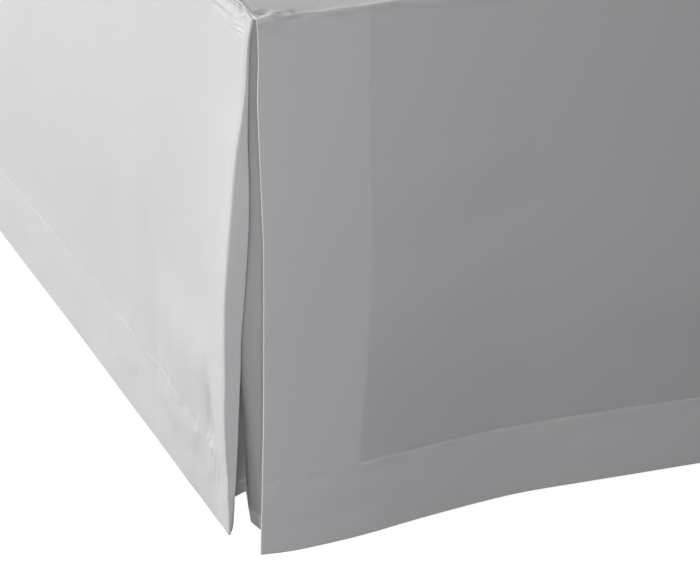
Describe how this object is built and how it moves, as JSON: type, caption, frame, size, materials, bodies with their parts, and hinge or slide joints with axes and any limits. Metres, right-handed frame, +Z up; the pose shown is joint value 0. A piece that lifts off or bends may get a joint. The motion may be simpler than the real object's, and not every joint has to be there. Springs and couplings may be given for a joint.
{
  "type": "bed skirt on box spring bed base",
  "caption": "Tailored bed skirt with wide hems and split corners backed by folded inserts, hanging from a flat deck on a box spring with a plain steel base.",
  "frame": {"origin": "middle of the footprint, on the floor that the legs stand on", "axes": "+Z up; +Y along the bed towards its open head end, with the foot panel at -Y; +X across the bed"},
  "size_m": [1.5808, 2.056, 0.389],
  "materials": {
    "skirt_cloth": "smooth closely woven plain cloth, matte with a slight sheen",
    "box_ticking": "plain woven ticking, matte",
    "base_steel": "powder-coated steel, satin"
  },
  "bodies": {
    "root": {"deck": "skirt_cloth", "foot_panel": "skirt_cloth", "side_panel_right": "skirt_cloth", "side_panel_left": "skirt_cloth", "corner_insert_right": "skirt_cloth", "corner_insert_left": "skirt_cloth", "box_spring": "box_ticking", "side_rail_left": "base_steel", "side_rail_right": "base_steel", "cross_rail_foot": "base_steel", "cross_rail_middle": "base_steel", "cross_rail_head": "base_steel", "leg_foot_left": "base_steel", "leg_middle_left": "base_steel", "leg_head_left": "base_steel", "leg_foot_right": "base_steel", "leg_middle_right": "base_steel", "leg_head_right": "base_steel"}
  },
  "joints": []
}
